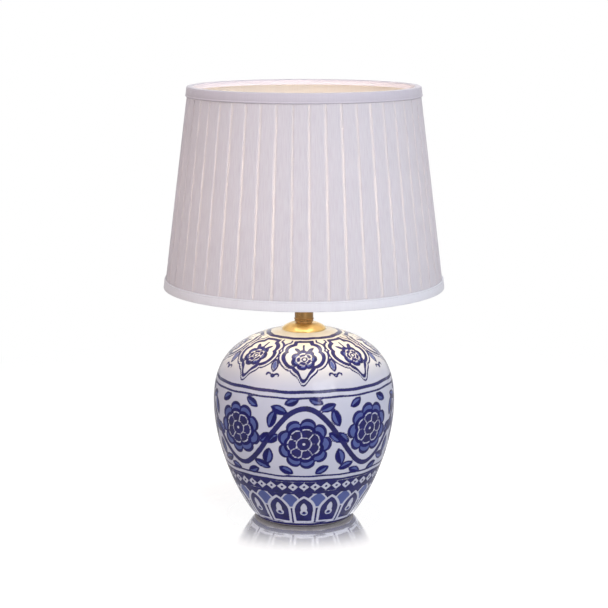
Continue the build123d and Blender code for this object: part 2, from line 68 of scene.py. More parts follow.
SHADE_LOW, SHADE_HIGH = node_span("bottom_binding")[0].z, node_span("top_binding")[1].z
SHADE_LOW_R, SHADE_MEAN_R, SHADE_HIGH_R = 150.0, 136, 123.0
CLOTH_LOW, CLOTH_HIGH = (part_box("pleated_cover")[i].z / MM for i in (0, 1))
PLEATS = 48
PLEAT_TURN = radians(-91.5)  # where the middle of one pleat is
GAP_WIDTH = 2.9  # between two pleats, at the bottom edge
PLEAT_ROWS = 14  # steps of the cover from its bottom edge to its top
STRUTS, STRUT_TURN = 6, radians(-96)  # upright wires under the lining, and where one of them is
LINING_COLUMNS, LINING_ROWS = 192, 12
THREAD_COLUMNS = 96

BELLY = (97.7, 128.0)  # the jar's widest place
JAR_MOUTH = (24.0, 206.5)
BULB_MIDDLE, BULB_R = 333.8, 30.0
SKIRT_PITCH, CAP_PITCH = 2.2, 3.63  # threads of the holder's skirt and of the bulb's cap

CAMERA_PLACE, CAMERA_DIP, CAMERA_LENS = (0, -1.7995, 0.5752), radians(10.757), 101.06
AIM = Vector((0, 0, 0.24))  # where the soft lamps point
SOFT_LAMPS = (  # name, place, width, height, power and colour
    ("Key softbox", (1.0, -1.9, 1.4), 1.2, 1.2, 27.5, "#FAFCFF"),
    ("Fill softbox", (-1.8, -1.2, 1.2), 1.4, 1.4, 12.5, "#FFD8C0"),
    ("Back softbox", (0.3, 1.9, 1.8), 1.4, 1.4, 12, "#FFFFFF"),
    ("Low strip light", (0.72, -2.1, 0.3), 0.14, 0.8, 3.4, "#FFF4EA"),
)
WORLD_LIGHT = 0.55  # of the white surroundings on the object; seen directly they have 1
FLOOR_LIFT = 0.62  # brightness that the camera sees added to the floor
MIRROR_REACH = (0.05, 0.145)  # radii between which the floor's mirror image fades out
FLOOR_FADE = (0.35, 0.9)  # radii between which the floor turns into the surroundings


# ---- shaping

def colour(code):
    """An sRGB hex colour as the linear one that Blender's sockets take."""
    parts = [int(code[at:at + 2], 16) / 255 for at in (1, 3, 5)]
    return [c / 12.92 if c <= 0.04045 else ((c + 0.055) / 1.055) ** 2.4 for c in parts] + [1.0]


def curve(start, lean, reach, end, steps):
    """Points along a Bezier curve between two points of an outline."""
    corners = [Vector((*point, 0)) for point in (start, lean, reach, end)]
    return [(point.x, point.y) for point in interpolate_bezier(*corners, steps)]


def bulge(start, end, rise, steps):
    """Points along a shallow arc whose middle stands out by rise, to the right of its run."""
    a, b = Vector(start), Vector(end)
    side = Vector((b.y - a.y, a.x - b.x)).normalized() * rise * 4 / 3
    return curve(a, a.lerp(b, 0.25) + side, a.lerp(b, 0.75) + side, b, steps)


def finished(name, work, crease=32):
    """Turns a bmesh into an object at the origin, smooth except at its sharp edges."""
    mesh = bpy.data.meshes.new(name)
    work.to_mesh(mesh)
    work.free()
    mesh.shade_smooth()
    mesh.set_sharp_from_angle(angle=radians(crease))
    piece = bpy.data.objects.new(name, mesh)
    bpy.context.scene.collection.objects.link(piece)
    return piece


def spun(work, outline, steps, closed=True):
    """Turns an outline of radius and height right round the lamp's axis."""
    corners = [work.verts.new((r * MM, 0, z * MM)) for r, z in outline]
    ends = corners[1:] + corners[:1] if closed else corners[1:]
    edges = [work.edges.new(pair) for pair in zip(corners, ends)]
    bmesh.ops.spin(
        work, geom=corners + edges, axis=(0, 0, 1), cent=(0, 0, 0), angle=2 * pi, steps=steps, use_merge=True,
    )
    bmesh.ops.remove_doubles(work, verts=work.verts, dist=1e-6)
    bmesh.ops.recalc_face_normals(work, faces=work.faces)


def turned(name, outline, steps=128, closed=True):
    """A piece turned from its outline."""
    work = bmesh.new()
    spun(work, outline, steps, closed)
    return finished(name, work)


def sleeve(name, columns, rows, place, closed=False, crease=180):
    """A tube extruded row by row from a circle; place(column, row) gives each point in millimetres."""
    work = bmesh.new()
    ring = bmesh.ops.create_circle(work, cap_ends=False, segments=columns, radius=1.0)["verts"]
    first = list(work.edges)
    edges = first
    for at in range(columns):
        ring[at].co = Vector(place(at, 0)) * MM
    for row in range(1, rows):
        grown = bmesh.ops.extrude_edge_only(work, edges=edges)["geom"]
        edges = [item for item in grown if isinstance(item, bmesh.types.BMEdge) and item.is_boundary]
        top = [item for item in grown if isinstance(item, bmesh.types.BMVert)]
        column_of = {vert: at for at, vert in enumerate(ring)}
        lower = {}
        for vert in top:
            neighbours = [edge.other_vert(vert) for edge in vert.link_edges]
            lower[vert] = next(column_of[other] for other in neighbours if other in column_of)
        ring = sorted(top, key=lower.get)
        for at, vert in enumerate(ring):
            vert.co = Vector(place(at, row)) * MM
    if closed:
        bmesh.ops.bridge_loops(work, edges=edges + first)
    bmesh.ops.recalc_face_normals(work, faces=work.faces)
    return finished(name, work, crease)


def dress(piece, body, finishes, replaces):
    """Gives a new piece its materials, its body, and the CAD nodes that it stands for."""
    for finish in finishes:
        piece.data.materials.append(finish)
    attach(piece, body)
    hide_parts(*replaces)


def dress_nodes(finish, *names):
    """Gives CAD nodes whose shape is already right a better material."""
    for name in names:
        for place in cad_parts[name].material_slots:
            place.material = finish


# ---- shading

def node(tree, kind, inputs=None, **settings):
    """Adds a shader node with its settings, and sets or links its inputs."""
    made = tree.nodes.new("ShaderNode" + kind)
    for key, value in settings.items():
        setattr(made, key, value)
    for key, value in (inputs or {}).items():
        if isinstance(value, bpy.types.NodeSocket):
            tree.links.new(value, made.inputs[key])
        else:
            made.inputs[key].default_value = value
    return made


def material(name):
    """An empty node material and its tree."""
    made = bpy.data.materials.new(name)
    made.use_nodes = True
    made.node_tree.nodes.clear()
    return made, made.node_tree


def surface(tree, tint, rough, normal, more=None):
    """The material's one Principled shader, linked to the output."""
    inputs = {"Base Color": tint, "Roughness": rough, "Normal": normal, **(more or {})}
    node(tree, "OutputMaterial", {"Surface": node(tree, "BsdfPrincipled", inputs).outputs[0]})


def here(tree):
    """The point being shaded, in metres from the lamp's foot."""
    return node(tree, "TexCoord").outputs["Object"]


def grain(tree, size, detail=2.0, where=None, rough=0.5):
    """Noise from 0 to 1 whose lumps are about size millimetres across."""
    inputs = {"Vector": where or here(tree), "Scale": 1 / (size * MM), "Detail": detail, "Roughness": rough}
    return node(tree, "TexNoise", inputs).outputs["Fac"]


def sums(tree, operation, a, b=0.0):
    """One Math node."""
    return node(tree, "Math", {0: a, 1: b}, operation=operation).outputs[0]


def times(tree, a, b):
    """The product of two values."""
    return sums(tree, "MULTIPLY", a, b)


def spread(tree, value, low, high, to_low=0.0, to_high=1.0, kind="LINEAR"):
    """Maps a value from one range to another."""
    inputs = {"Value": value, "From Min": low, "From Max": high, "To Min": to_low, "To Max": to_high}
    return node(tree, "MapRange", inputs, interpolation_type=kind).outputs["Result"]


def blend(tree, share, first, second):
    """One colour turning into another by a share from 0 to 1."""
    return node(tree, "Mix", {0: share, 6: first, 7: second}, data_type="RGBA").outputs[2]


def relief(tree, height, depth, normal=None):
    """Bump from a height of 0 to 1 that stands depth millimetres tall."""
    inputs = {"Height": height, "Distance": depth * MM, "Strength": 1.0}
    if normal:
        inputs["Normal"] = normal
    return node(tree, "Bump", inputs).outputs["Normal"]


def parts_of(tree):
    """The shaded point's three coordinates, in metres."""
    return node(tree, "SeparateXYZ", {0: here(tree)}).outputs


def off_the_axis(tree):
    """The shaded point's distance from the lamp's axis, in metres."""
    squares = [sums(tree, "POWER", parts_of(tree)[at], 2.0) for at in (0, 1)]
    return sums(tree, "SQRT", sums(tree, "ADD", *squares))


def round_the_axis(tree, radius):
    """Vector of the way round the lamp's axis at a radius, and the height, both in millimetres."""
    parts = parts_of(tree)
    across = times(tree, sums(tree, "ARCTAN2", parts[1], parts[0]), radius)
    return node(tree, "CombineXYZ", {0: across, 1: sums(tree, "DIVIDE", parts[2], MM)}).outputs[0]


def threads(tree, where, pitch, axis):
    """The threads of one direction of a weave, as a height from 0 to 1."""
    inputs = {"Vector": where, "Scale": 2 * pi / 20 / pitch, "Distortion": 0.0, "Detail": 0.0}
    return node(tree, "TexWave", inputs, bands_direction=axis).outputs["Fac"]


# ---- settings

class LampSizes(bpy.types.PropertyGroup):
    """Sizes of the lamp that the CAD frame leaves open."""

    pleat_crown: bpy.props.FloatProperty(
        name="Pleat crown", description="How far each pleat swells between its folds", default=0.25 * MM,
        min=0, max=MM, unit="LENGTH", precision=5,
    )
    pleat_stray: bpy.props.FloatProperty(
        name="Pleat stray", description="How far a fold strays from its true place", default=0.11 * MM,
        min=0, max=MM, unit="LENGTH", precision=5,
    )
    jar_columns: bpy.props.IntProperty(
        name="Jar columns", description="Faces round the jar, which carry its painting", default=480,
        min=96, max=500,
    )
    brush_shake: bpy.props.FloatProperty(
        name="Brush shake", description="Unevenness of the painted lines", default=0.45 * MM,
        min=0, max=2 * MM, unit="LENGTH", precision=5,
    )


class LampColours(bpy.types.PropertyGroup):
    """Colours of the lamp's finishes."""

    glaze: bpy.props.FloatVectorProperty(
        name="Glaze", description="Porcelain body seen through its glaze", default=colour("#C3C6D8"),
        size=4, subtype="COLOR", min=0, max=1,
    )
    cobalt: bpy.props.FloatVectorProperty(
        name="Cobalt", description="Full strokes of the underglaze blue", default=colour("#0C0A58"),
        size=4, subtype="COLOR", min=0, max=1,
    )
    wash: bpy.props.FloatVectorProperty(
        name="Wash", description="Thinned underglaze blue", default=colour("#42549A"),
        size=4, subtype="COLOR", min=0, max=1,
    )
    brass: bpy.props.FloatVectorProperty(
        name="Brass", description="Bright brass of the cap and the holder", default=colour("#EFD08A"),
        size=4, subtype="COLOR", min=0, max=1,
    )
    # painted shade: the neck's brass is coloured darker than the cap's, standing for the darker surroundings that
    # it reflects
    neck_brass_shaded: bpy.props.FloatVectorProperty(
        name="Dark brass", description="Brass of the neck with painted shade", default=colour("#B08B5B"),
        size=4, subtype="COLOR", min=0, max=1,
    )
    cover: bpy.props.FloatVectorProperty(
        name="Cover", description="Pleated cloth of the shade", default=colour("#EBEAF1"),
        size=4, subtype="COLOR", min=0, max=1,
    )
    # the two bands are one satin tape: the lower one is coloured lighter as painted light, the upper one darker
    # as painted shade
    band: bpy.props.FloatVectorProperty(
        name="Lower band", description="Cloth band along the shade's bottom edge", default=colour("#E7E8F2"),
        size=4, subtype="COLOR", min=0, max=1,
    )
    upper_band_shaded: bpy.props.FloatVectorProperty(
        name="Upper band", description="Cloth band along the shade's top edge", default=colour("#D3CFDD"),
        size=4, subtype="COLOR", min=0, max=1,
    )
    lining: bpy.props.FloatVectorProperty(
        name="Lining", description="Cream cloth inside the shade", default=colour("#E4DED7"),
        size=4, subtype="COLOR", min=0, max=1,
    )
    lamplight: bpy.props.FloatVectorProperty(
        name="Lamplight", description="Light of the lit bulb", default=colour("#FFF3E0"),
        size=4, subtype="COLOR", min=0, max=1,
    )


def sizes():
    """The scene's sizes."""
    return bpy.context.scene.jar_lamp_sizes


def colours():
    """The scene's colours."""
    return bpy.context.scene.jar_lamp_colours


# ---- finishes

def painted_porcelain():
    """Hard-paste porcelain, painted in cobalt under a clear glaze and fired to a wet gloss."""
    made, tree = material("Glazed porcelain with underglaze cobalt")
    # the brush: bristle streaks and pooling make the strokes uneven, and the glaze blurs their edges
    edge_wander = spread(tree, grain(tree, 2.2, 3), 0.3, 0.7, -0.16, 0.16)
    pooling = grain(tree, 9, 3)
    streaks = grain(tree, 1.6, 2)
    cobalt = node(tree, "Attribute", attribute_name="cobalt").outputs["Fac"]
    wash = node(tree, "Attribute", attribute_name="wash").outputs["Fac"]
    in_cobalt = spread(tree, sums(tree, "ADD", cobalt, edge_wander), 0.32, -0.32, kind="SMOOTHSTEP")
    in_wash = spread(tree, sums(tree, "ADD", wash, edge_wander), 0.6, -0.6, kind="SMOOTHSTEP")
    # the glaze runs down as it melts and is bluer where it gathers; the creamy, lighter body towards the mouth is
    # painted warm light of the bulb falling on the shoulder
    body = blend(tree, spread(tree, grain(tree, 45, 2), 0.35, 0.65), colours().glaze, colour("#BDC1D6"))
    body = blend(tree, spread(tree, parts_of(tree)[2], 0.155, 0.205, kind="SMOOTHSTEP"), body, colour("#DEDACE"))
    thin = blend(tree, spread(tree, pooling, 0.3, 0.7), colours().wash, colour("#3B4A8C"))
    thick = blend(tree, spread(tree, streaks, 0.35, 0.75), colours().cobalt, colour("#1C1B68"))
    thick = blend(tree, spread(tree, pooling, 0.45, 0.8), thick, colour("#0A083E"))
    paint = blend(tree, times(tree, in_wash, 0.93), body, thin)
    paint = blend(tree, times(tree, in_cobalt, 0.97), paint, thick)
    # glaze over a thrown body: long shallow waves and the faint orange peel of the firing
    waves = relief(tree, grain(tree, 38, 1), 0.35)
    peel = relief(tree, grain(tree, 3.5, 1), 0.012, waves)
    surface(tree, paint, 0.1, peel, {"IOR": 1.5, "Specular IOR Level": 0.2})
    return made


def bare_porcelain():
    """The unglazed foot, ground flat after firing: matt, sandy and slightly stained."""
    made, tree = material("Unglazed porcelain")
    stain = blend(tree, spread(tree, grain(tree, 7, 4), 0.35, 0.7), colour("#7E7880"), colour("#625C66"))
    surface(tree, stain, 0.85, relief(tree, grain(tree, 0.5, 3), 0.05))
    return made


def lacquered_brass(name, tint, tarnish_code, polish):
    """Brass turned or spun on a lathe and lacquered: fine rings that draw the highlight out."""
    made, tree = material(name)
    across = node(tree, "CombineXYZ", {0: off_the_axis(tree), 2: parts_of(tree)[2]}).outputs[0]
    rings = grain(tree, 0.35, 2, across)  # real turning marks are 0.05 mm apart, too fine to show
    tarnish = spread(tree, grain(tree, 6, 4), 0.45, 0.75)
    tint = blend(tree, times(tree, tarnish, 0.25), tint, colour(tarnish_code))
    rough = spread(tree, grain(tree, 9, 2), 0.3, 0.7, polish - 0.03, polish + 0.03)
    surface(tree, tint, rough, relief(tree, rings, 0.003), {
        "Metallic": 1.0, "Anisotropic": 0.85, "Anisotropic Rotation": 0.25,
        "Tangent": node(tree, "Tangent", direction_type="RADIAL", axis="Z").outputs[0],
    })
    return made


def metal(name, code, worn_code, roughness):
    """Plated or drawn metal, with a colour that drifts and fine scratches."""
    made, tree = material(name)
    patches = spread(tree, grain(tree, 3, 4), 0.4, 0.7)
    tint = blend(tree, patches, colour(code), colour(worn_code))
    rough = spread(tree, grain(tree, 1.2, 4), 0.3, 0.7, roughness - 0.07, roughness + 0.07)
    surface(tree, tint, rough, relief(tree, grain(tree, 0.4, 2), 0.008), {"Metallic": 1.0})
    return made


def plain_solid(name, code, second_code, roughness, lump, depth):
    """A moulded, pressed or painted solid: a slight mottle and a fine skin of its own."""
    made, tree = material(name)
    mottle = times(tree, spread(tree, grain(tree, 8 * lump, 3), 0.35, 0.7), 0.35)
    tint = blend(tree, mottle, colour(code), colour(second_code))
    surface(tree, tint, roughness, relief(tree, grain(tree, lump, 3), depth), {"IOR": 1.5})
    return made


def frosted_glass():
    """Soda-lime glass with a white powder coat inside, lit evenly from within."""
    made, tree = material("Frosted soda-lime glass, lit")
    height = sums(tree, "DIVIDE", parts_of(tree)[2], MM)
    glow = spread(tree, height, 286, 330, 0.35, 1.0, "SMOOTHSTEP")
    powder = spread(tree, grain(tree, 2.5, 3), 0.3, 0.7, 0.94, 1.0)
    light = times(tree, times(tree, glow, powder), 0.62)
    surface(tree, colour("#D3CDC3"), 0.35, relief(tree, grain(tree, 0.6, 2), 0.01), {
        "IOR": 1.5, "Emission Color": colours().lamplight, "Emission Strength": light,
    })
    return made


def clear_glass():
    """Pressed lead-free glass of the stem, with the slight seed of its melt."""
    made, tree = material("Clear pressed glass")
    surface(tree, colour("#F5F7F6"), 0.03, relief(tree, grain(tree, 2, 2), 0.02), {
        "IOR": 1.52, "Transmission Weight": 1.0,
    })
    return made


def woven(name, tint, other_code, pitch, passes, roughness, sheen, slubs=0.5):
    """Woven cloth of a lampshade, which scatters light and lets a share of it through."""
    made, tree = material(name)
    where = round_the_axis(tree, SHADE_MEAN_R)
    # the real threads are about 0.2 mm apart; they are drawn wider, so that they show at all
    warp, weft = threads(tree, where, pitch, "X"), threads(tree, where, pitch, "Y")
    weave = sums(tree, "MAXIMUM", warp, weft)
    long_slubs = node(tree, "Mapping", {"Vector": where, "Scale": (0.9, 0.06, 1)}).outputs[0]
    slub = node(tree, "TexNoise", {"Vector": long_slubs, "Scale": 1.0, "Detail": 3.0}).outputs["Fac"]
    share = times(tree, spread(tree, slub, 0.4, 0.7), slubs)
    tint = blend(tree, share, tint, colour(other_code))
    # painted shade: the cloth is coloured darker between its threads, in the weave's hollows
    tint = blend(tree, times(tree, sums(tree, "SUBTRACT", 1.0, weave), 0.12), tint, colour("#B9B3BD"))
    height = sums(tree, "ADD", times(tree, weave, 0.6), times(tree, slub, 0.4))
    normal = relief(tree, height, 0.06)
    cloth = node(tree, "BsdfPrincipled", {
        "Base Color": tint, "Roughness": roughness, "Sheen Weight": sheen, "Sheen Roughness": 0.4,
        "Specular IOR Level": 0.25, "Normal": normal,
    })
    through = node(tree, "BsdfTranslucent", {"Color": tint, "Normal": normal})
    both = node(tree, "MixShader", {0: passes, 1: cloth.outputs[0], 2: through.outputs[0]})
    node(tree, "OutputMaterial", {"Surface": both.outputs[0]})
    return made


def wool_felt():
    """Pressed wool felt: no weave, only matted fibres that swallow the light."""
    made, tree = material("Pressed wool felt")
    fibres = grain(tree, 0.7, 5, rough=0.7)
    tint = blend(tree, spread(tree, grain(tree, 4, 4), 0.35, 0.7), colour("#45424A"), colour("#343138"))
    surface(tree, tint, 1.0, relief(tree, fibres, 0.25), {"Sheen Weight": 0.4, "Sheen Roughness": 0.6})
    return made


def studio_floor():
    """Smooth white acrylic sheet, whose mirror image of the jar's foot fades outwards."""
    made, tree = material("White acrylic floor")
    camera_sees = node(tree, "LightPath").outputs["Is Camera Ray"]
    away = off_the_axis(tree)
    gloss_share = spread(tree, away, *MIRROR_REACH, 0.88, 0.0, "SMOOTHSTEP")
    white = node(tree, "BsdfDiffuse", {"Color": colour("#C4C4C4")})
    gloss = node(tree, "BsdfGlossy", {"Color": colour("#FFFFFF"), "Roughness": 0.07})
    both = node(tree, "MixShader", {0: gloss_share, 1: white.outputs[0], 2: gloss.outputs[0]})
    # the camera alone sees the floor lifted to the white of its surroundings, with the shadow kept
    rise = spread(tree, gloss_share, 0.0, 1.0, FLOOR_LIFT, 0.0)
    lift = node(tree, "Emission", {"Color": colour("#FFFFFF"), "Strength": times(tree, camera_sees, rise)})
    lit = node(tree, "AddShader", {0: both.outputs[0], 1: lift.outputs[0]})
    far = times(tree, camera_sees, spread(tree, away, *FLOOR_FADE, kind="SMOOTHSTEP"))
    plain = node(tree, "Emission", {"Color": colour("#FFFFFF"), "Strength": 1.0})
    faded = node(tree, "MixShader", {0: far, 1: lit.outputs[0], 2: plain.outputs[0]})
    node(tree, "OutputMaterial", {"Surface": faded.outputs[0]})
    return made


# ---- painting of the jar

def disc(x, y, middle, radius):
    """Distance to a round dot's edge, negative inside, as for every shape here."""
    return np.hypot(x - middle[0], y - middle[1]) - radius


def leaf(x, y, middle, length, width, lean):
    """Pointed leaf between two arcs; lean turns its long axis, in degrees."""
    c, s = cos(radians(lean)), sin(radians(lean))
    along = (x - middle[0]) * c + (y - middle[1]) * s
    across = (y - middle[1]) * c - (x - middle[0]) * s
    bow = (length ** 2 + width ** 2) / (4 * width)
    return np.hypot(along, np.abs(across) + bow - width / 2) - bow


def curl(x, y, middle, radius, start, sweep, thick):
    """Brushed curl that thins as it winds inwards."""
    stroke = np.full_like(x, 99.0)
    for part in np.linspace(0, 1, 16):
        turn = radians(start + sweep * part)
        reach = radius * (1 - 0.65 * part)
        dot = (middle[0] + reach * cos(turn), middle[1] + reach * sin(turn))
        stroke = np.minimum(stroke, disc(x, y, dot, thick * (0.55 + 0.45 * sin(pi * (0.15 + 0.85 * part)))))
    return stroke


def scallops(bearing, count, radius, dip):
    """Radius of an edge with so many petals."""
    return radius * (1 - dip + dip * np.sqrt(np.abs(np.cos(count * bearing / 2))))


def blossom(x, y, middle, radius, count):
    """Open flower: its outer edge, its strokes and its washed parts."""
    dx, dy = x - middle[0], y - middle[1]
    reach, bearing = np.hypot(dx, dy), np.arctan2(dy, dx)
    inner = count - 2
    inner_bearing = bearing + pi / inner
    edge = reach - scallops(bearing, count, radius, 0.22)
    inner_edge = reach - scallops(inner_bearing, inner, 0.60 * radius, 0.2)
    heart = reach - 0.25 * radius
    folds = np.abs(reach * np.cos(count * bearing / 2)) * 2 / count - 0.7
    inner_folds = np.abs(reach * np.cos(inner * inner_bearing / 2)) * 2 / inner - 0.55
    strokes = np.minimum(np.abs(edge) - 1.7, np.maximum(folds, np.maximum(edge, -inner_edge)))
    strokes = np.minimum(strokes, np.maximum(1.5 - inner_edge, inner_edge - 0.19 * radius))
    filled = np.maximum(np.maximum(inner_edge, -inner_folds), 1.1 - heart)
    strokes = np.minimum(strokes, np.minimum(filled, np.maximum(heart, 1.5 - reach)))
    washed = np.maximum(edge + 0.5, 1.5 - inner_edge)
    return edge, strokes, washed


def repeat(angle, count, turn=FRONT):
    """Angle from the middle of the nearest of count like motifs, and that motif's number."""
    pitch = 2 * pi / count
    number = np.floor((angle - turn) / pitch + 0.5)
    return angle - turn - number * pitch, number


RINGS = ((203.4, 5.2), (158.8, 3.4), (152.6, 2.2), (67.0, 2.2), (61.5, 2.6), (46.5, 2.6), (4.6, 4.2))
SCROLL_LEAVES = (  # along, up, length, width and lean, from the middle of a bend in the stem
    (-34, 21, 19, 9.0, 70), (-26, 31, 17, 8.0, 160), (34.5, 22, 19, 9.0, 110), (25.5, 33, 16, 7.6, 20),
    (-33, 0, 16, 7.6, 40), (33, 0, 16, 7.6, 140), (-13, 40, 15, 7.0, 18), (13, 40, 15, 7.0, 162),
    (-19, -36, 15, 7.4, 150), (19, -36, 15, 7.4, 30),
)


class Painting:
    """The jar's brushwork: distances in millimetres to the cobalt strokes and to the paler wash."""

    panels, diamonds, petals = 8, 44, 16  # motifs round the jar
    collar_top, scroll_top, scroll_foot = 203.5, 152, 67.5

    def __init__(self, angle, radius, run, level, shake):
        self.angle, self.radius, self.level = angle, radius, level
        self.shake = shake * (np.sin(9 * angle + run / 11) + 0.66 * np.sin(23 * angle - run / 7))
        self.run = run + shake * (0.8 * np.sin(7 * angle + 1.3) + 0.55 * np.sin(17 * angle + run / 9))
        self.cobalt, self.wash = np.full_like(run, 99.0), np.full_like(run, 99.0)
        for z, width in RINGS:
            self.stroke(np.abs(self.run - level(z)) - width / 2)
        self.cloud_collar()
        self.collar_drops()
        self.flower_scroll()
        self.diamond_band()
        self.standing_petals()

    def stroke(self, distance):
        self.cobalt = np.minimum(self.cobalt, distance)

    def tint(self, distance):
        self.wash = np.minimum(self.wash, distance)

    def cloud_collar(self):
        """Lobed panels that hang from the mouth, each with a flower."""
        turn, _ = repeat(self.angle, self.panels)
        x, y = turn * self.radius + self.shake, self.level(self.collar_top) - self.run
        reach, bearing = np.hypot(x, y - 33), np.arctan2(x, y - 33)
        cloud = 24.0 * (0.83 + 0.17 * np.sqrt(np.abs(np.cos(2.5 * bearing))))
        cloud += 8.5 * np.exp(-((bearing / 0.19) ** 2))
        neck = np.maximum(np.abs(x) - 0.29 * 2 * pi / self.panels * self.radius, np.maximum(y - 26, 5.5 - y))
        panel = np.minimum(neck, reach - cloud)
        self.stroke(np.abs(panel + 2.3) - 2.1)
        self.stroke(np.maximum(np.abs(panel - 2.7) - 1.0, 5 - y))
        _, strokes, washed = blossom(x, y, (0, 37), 12.5, 7)
        self.stroke(strokes)
        self.tint(washed)
        for side in (-1, 1):
            self.stroke(leaf(x, y, (side * 7.0, 23.5), 11, 4.6, 90 + side * 40))
        self.stroke(np.maximum(np.abs(x) - 1.2, np.maximum(y - 25, 14 - y)))

    def collar_drops(self):
        """A drop and two curls between each pair of panels."""
        turn, _ = repeat(self.angle, self.panels, FRONT + pi / self.panels)
        x, y = turn * self.radius + self.shake, self.level(self.collar_top) - self.run
        drop = np.minimum(leaf(x, y, (0, 46), 17, 8.5, 90), disc(x, y, (0, 58.5), 2.3))
        self.stroke(np.abs(drop + 0.9) - 0.95)
        self.tint(drop + 2)
        for side in (-1, 1):
            self.stroke(curl(x, y, (side * 5.2, 58.5), 3.6, 90 + side * 90, side * 200, 1.15))

    def flower_scroll(self):
        """A stem that winds round the belly, with a flower in each bend."""
        turn, number = repeat(self.angle, self.panels)
        middle = (self.level(self.scroll_top) + self.level(self.scroll_foot)) / 2
        parity = 1 - 2 * np.abs(number % 2)
        slope = 132 * np.sin(4 * turn) / self.radius
        scroll = np.abs((self.run - middle) * parity - 33 * np.cos(4 * turn)) / np.sqrt(1 + slope ** 2) - 2.8
        flowers, halos = np.full_like(scroll, 99.0), np.full_like(scroll, 99.0)
        for shift in (-1, 0, 1):
            flip = parity * (1 - 2 * abs(shift))
            x = ((turn - shift * 2 * pi / self.panels) * self.radius + self.shake) * flip
            y = (self.run - middle) * flip
            edge, strokes, washed = blossom(x, y, (0, -5.5), 27.0, 9)
            flowers, halos = np.minimum(flowers, strokes), np.minimum(halos, edge - 2.4)
            self.tint(washed)
            for along, up, length, width, lean in SCROLL_LEAVES:
                blade = leaf(x, y, (along, up), length, width, lean)
                c, s = cos(radians(lean)), sin(radians(lean))
                dark_half = ((y - up) * c - (x - along) * s) * (1 if along * c >= 0 else -1)
                scroll = np.minimum(scroll, np.minimum(np.maximum(blade, -dark_half), np.abs(blade) - 1.0))
                self.tint(blade)
        self.stroke(np.minimum(flowers, np.maximum(scroll, -halos)))

    def diamond_band(self):
        """Reserved diamonds with a dot in each, on a solid band."""
        turn, _ = repeat(self.angle, self.diamonds)
        low, high = self.level(48.0), self.level(60.0)
        x, y = turn * self.radius, self.run - (low + high) / 2
        diamond = (np.abs(x) / 5.6 + np.abs(y) / 4.9 - 1) * 3.7
        self.stroke(np.maximum(np.abs(y) - (high - low) / 2, -diamond))
        self.stroke(disc(x, y, (0, 0), 1.5))

    def standing_petals(self):
        """Pointed petals that stand on the foot, with a second row behind them."""
        foot = self.level(9.0)
        behind = self.petal(FRONT + pi / self.petals, foot, 6.5)[0]
        petal, x, y, height = self.petal(FRONT, foot, 0.0)
        ground = np.maximum(foot - 2.5 - self.run, self.run - self.level(45.5))
        behind = np.maximum(behind, 0.62 * height - y)
        self.stroke(np.maximum(ground, np.maximum(1.6 - petal, 1.4 - behind)))
        self.tint(np.maximum(behind + 0.3, 2.0 - petal))
        pearl = np.minimum(disc(x, y, (0, height * 0.4), 4.2), leaf(x, y, (0, height * 0.58), 15, 6.4, 90))
        self.stroke(np.maximum(petal + 1.0, -pearl))
        self.stroke(disc(x, y, (0, height * 0.4), 1.9))
        self.tint(np.maximum(pearl + 1.2, y - height * 0.4))

    def petal(self, turn, foot, taller):
        """One row of pointed petals: distance, own coordinates and height."""
        turn, _ = repeat(self.angle, self.petals, turn)
        x, y = turn * self.radius + 0.6 * self.shake, self.run - foot
        half = self.radius * pi / self.petals - 2.6
        height = self.level(41.0) - foot + taller
        bow = half * 2.1
        spring = height - np.sqrt(bow ** 2 - (bow - half) ** 2)
        arch = np.hypot(np.abs(x) + bow - half, y - spring) - bow
        return np.maximum(np.where(y > spring, arch, np.abs(x) - half), -y), x, y, height


# ---- pieces

def shade_r(z, inset):
    """Radius of the shade's layer that lies inset from the slope of its bands, in millimetres."""
    return SHADE_LOW_R + (SHADE_HIGH_R - SHADE_LOW_R) * (z - SHADE_LOW) / (SHADE_HIGH - SHADE_LOW) - inset


class JARLAMP_OT_stage(bpy.types.Operator):
    """Camera, floor, white surroundings and soft lamps"""

    bl_idname = "jar_lamp.stage"
    bl_label = "Stage"

    def execute(self, context):
        scene = context.scene
        camera = bpy.data.cameras.new("Camera")
        camera.lens = CAMERA_LENS
        camera.sensor_width = 36.0
        camera.clip_end = 100
        viewer = bpy.data.objects.new("Camera", camera)
        viewer.location = CAMERA_PLACE
        viewer.rotation_euler = (pi / 2 - CAMERA_DIP, 0, 0)
        scene.collection.objects.link(viewer)
        scene.camera = viewer
        scene.view_settings.view_transform = "Standard"

        work = bmesh.new()
        bmesh.ops.create_circle(work, cap_ends=True, segments=96, radius=4.0)
        floor = finished("studio_floor", work)
        floor.data.materials.append(studio_floor())

        world = bpy.data.worlds.new("White surroundings")
        scene.world = world
        world.use_nodes = True
        tree = world.node_tree
        tree.nodes.clear()
        path = node(tree, "LightPath").outputs
        seen = sums(tree, "MAXIMUM", path["Is Camera Ray"], sums(
            tree, "MAXIMUM", path["Is Glossy Ray"], path["Is Transmission Ray"]))
        strength = spread(tree, seen, 0, 1, WORLD_LIGHT, 1.0)
        sky = node(tree, "Background", {"Color": colour("#FFFFFF"), "Strength": strength})
        node(tree, "OutputWorld", {"Surface": sky.outputs[0]})

        for name, place, width, height, power, code in SOFT_LAMPS:
            lamp = bpy.data.lights.new(name, "AREA")
            lamp.shape = "RECTANGLE"
            lamp.size, lamp.size_y = width, height
            lamp.energy = power
            lamp.color = colour(code)[:3]
            stand = bpy.data.objects.new(name, lamp)
            stand.location = place
            stand.rotation_euler = (AIM - Vector(place)).to_track_quat("-Z", "Y").to_euler()
            scene.collection.objects.link(stand)
        return {"FINISHED"}


